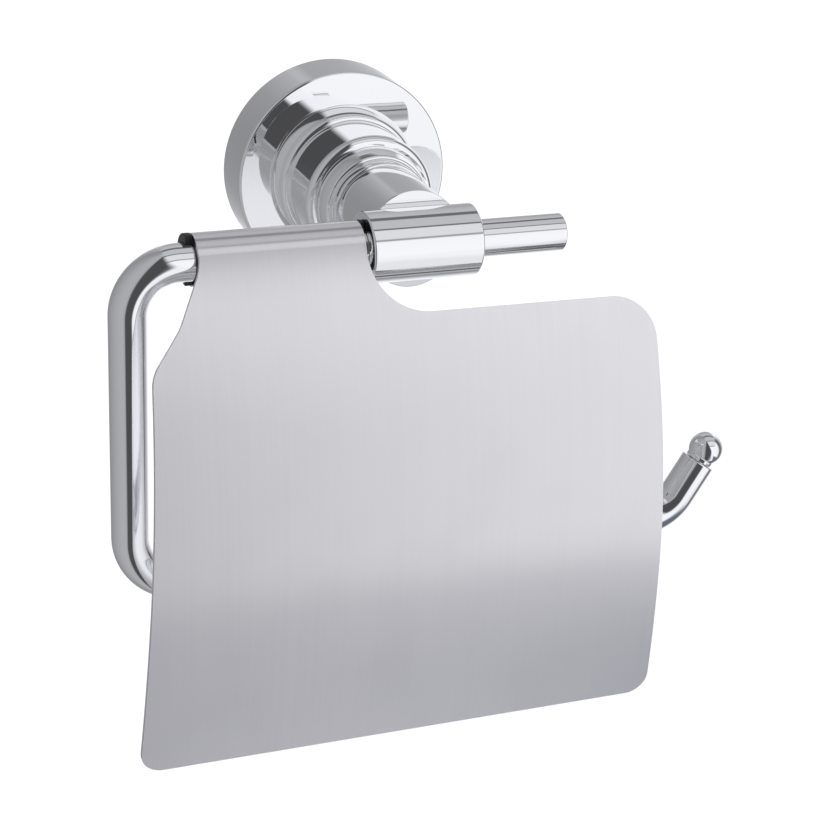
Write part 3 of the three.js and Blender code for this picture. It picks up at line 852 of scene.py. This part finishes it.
# light levels round the object: degrees and level
tent = {
    # round the rod's axis, from the front upward
    "around": [(-180, 0.50), (-172, 0.60), (-162, 0.90), (-145, 0.95), (-128, 0.85), (-119, 0.66),
               (-112, 0.44), (-103, 0.27), (-97, 0.22), (-93, 0.11), (-73, 0.11), (-69, 0.78), (-35, 0.80),
               (-12, 0.95), (31, 0.92), (34.5, 0.33), (37.5, 0.33), (40, 0.72), (68, 0.72), (70, 0.15),
               (73, 0.15), (75, 0.51), (104, 0.50), (107, 0.15), (117, 0.15), (120, 0.50), (140, 0.45),
               (155, 0.36), (168, 0.40), (180, 0.50)],
    # round the upright, from the front toward the right
    "azimuth": [(-180, 0.42), (-167, 0.31), (-155, 0.26), (-137, 0.30), (-89, 0.38), (-60, 0.41), (-41, 0.41),
                (-33, 0.36), (-28, 0.10), (-24, 0.07), (4, 0.07), (9, 0.16), (13, 0.88), (30, 0.95),
                (62, 0.88), (68, 0.58), (74, 0.25), (80, 0.10), (86, 0.10), (92, 0.19), (98, 0.34),
                (104, 0.46), (114, 0.62), (124, 0.90), (150, 0.98), (163, 0.98), (172, 0.60), (180, 0.42)],
    # where the two bands cross, and how softly one gives way to the other
    "crossX": 0.343, "crossZ": -0.394, "blend": 0.06, "reach": 0.35,
    "tint": (0.985, 0.99, 1.025), "strength": 1.06,
}

# two dim patches low in front: each pair is where a patch starts and where it is full
dim = {"color": (0.13, 0.15, 0.18), "slope": 0.5, "rightFall": (-0.18, -0.34), "rightX": (0.40, 0.46),
       "leftFall": (-0.38, -0.6), "leftShare": 0.55, "leftX": (0.28, 0.16), "leftEnd": (-0.12, 0.02),
       "frontY": (0.05, -0.05)}


def levels(tree, angle, stops):
    # a color ramp of grey levels over a whole turn
    made = node(tree, "ShaderNodeValToRGB")
    elements = made.color_ramp.elements
    while len(elements) < len(stops):
        elements.new(0.5)
    for element, (degrees, level) in zip(elements, stops):
        element.position = (degrees + 180) / 360
        element.color = (level, level, level, 1)
    link(tree, mathNode(tree, "ADD", mathNode(tree, "DIVIDE", angle, math.tau), 0.5), made.inputs["Fac"])
    return made.outputs["Color"]


def makeWorld():
    # two bands of light levels, each followed where a direction lies nearer to it
    world = bpy.data.worlds.new("lightTent")
    world.use_nodes = True
    bpy.context.scene.world = world
    tree = world.node_tree
    tree.nodes.clear()
    coords = node(tree, "ShaderNodeTexCoord")
    parts = node(tree, "ShaderNodeSeparateXYZ")
    link(tree, coords.outputs["Generated"], parts.inputs[0])
    x, y, z = parts.outputs
    forward = mathNode(tree, "MULTIPLY", y, -1.0)
    around = levels(tree, mathNode(tree, "ARCTAN2", z, forward), tent["around"])
    azimuth = levels(tree, mathNode(tree, "ARCTAN2", x, forward), tent["azimuth"])
    fromZ = mathNode(tree, "ABSOLUTE", mathNode(tree, "SUBTRACT", z, tent["crossZ"]))
    fromX = mathNode(tree, "ABSOLUTE", mathNode(tree, "SUBTRACT", x, tent["crossX"]))
    fromZ = mathNode(tree, "MULTIPLY", fromZ, tent["reach"])
    nearer = ramp(tree, mathNode(tree, "SUBTRACT", fromZ, fromX), -tent["blend"], tent["blend"])
    light = mixColor(tree, nearer, azimuth, around)
    slope = mathNode(tree, "ADD", z, mathNode(tree, "MULTIPLY", x, dim["slope"]))
    right = ramp(tree, slope, *dim["rightFall"])
    right = mathNode(tree, "MULTIPLY", right, ramp(tree, x, *dim["rightX"]))
    left = ramp(tree, z, *dim["leftFall"], 0.0, dim["leftShare"])
    left = mathNode(tree, "MULTIPLY", left, ramp(tree, x, *dim["leftX"]))
    left = mathNode(tree, "MULTIPLY", left, ramp(tree, x, *dim["leftEnd"]))
    patches = mathNode(tree, "MAXIMUM", right, left)
    patches = mathNode(tree, "MULTIPLY", patches, ramp(tree, y, *dim["frontY"]))
    light = mixColor(tree, patches, light, dim["color"])
    tint = node(tree, "ShaderNodeMix", data_type="RGBA", blend_type="MULTIPLY")
    tint.inputs["Factor"].default_value = 1
    link(tree, light, tint.inputs[6])
    tint.inputs[7].default_value = (*tent["tint"], 1)
    background = node(tree, "ShaderNodeBackground")
    # plain white where the camera looks past the floor
    seen = node(tree, "ShaderNodeLightPath").outputs["Is Camera Ray"]
    link(tree, mixColor(tree, seen, tint.outputs[2], (1.0, 1.0, 1.0)), background.inputs["Color"])
    background.inputs["Strength"].default_value = tent["strength"]
    out = node(tree, "ShaderNodeOutputWorld")
    link(tree, background.outputs[0], out.inputs["Surface"])


camera = {"azimuth": math.radians(21.92), "elevation": math.radians(23.19), "roll": math.radians(2.64),
          "place": (-0.171687, -0.497256, 0.154775), "lens": 90.52, "sensor": 36, "clipStart": 0.01}


def makeCamera():
    data = bpy.data.cameras.new("camera")
    data.lens = camera["lens"]
    data.sensor_width = camera["sensor"]
    data.clip_start = camera["clipStart"]
    obj = bpy.data.objects.new("camera", data)
    level = math.cos(camera["elevation"])
    forward = Vector((math.sin(camera["azimuth"]) * level, math.cos(camera["azimuth"]) * level,
                      -math.sin(camera["elevation"])))
    turn = forward.to_track_quat("-Z", "Y").to_matrix().to_4x4()
    obj.matrix_world = Matrix.Translation(camera["place"]) @ turn @ Matrix.Rotation(camera["roll"], 4, "Z")
    bpy.context.scene.collection.objects.link(obj)
    bpy.context.scene.camera = obj


makeFloor()
makeWorld()
makeCamera()
bpy.context.scene.view_settings.view_transform = "Standard"
print("studio made")
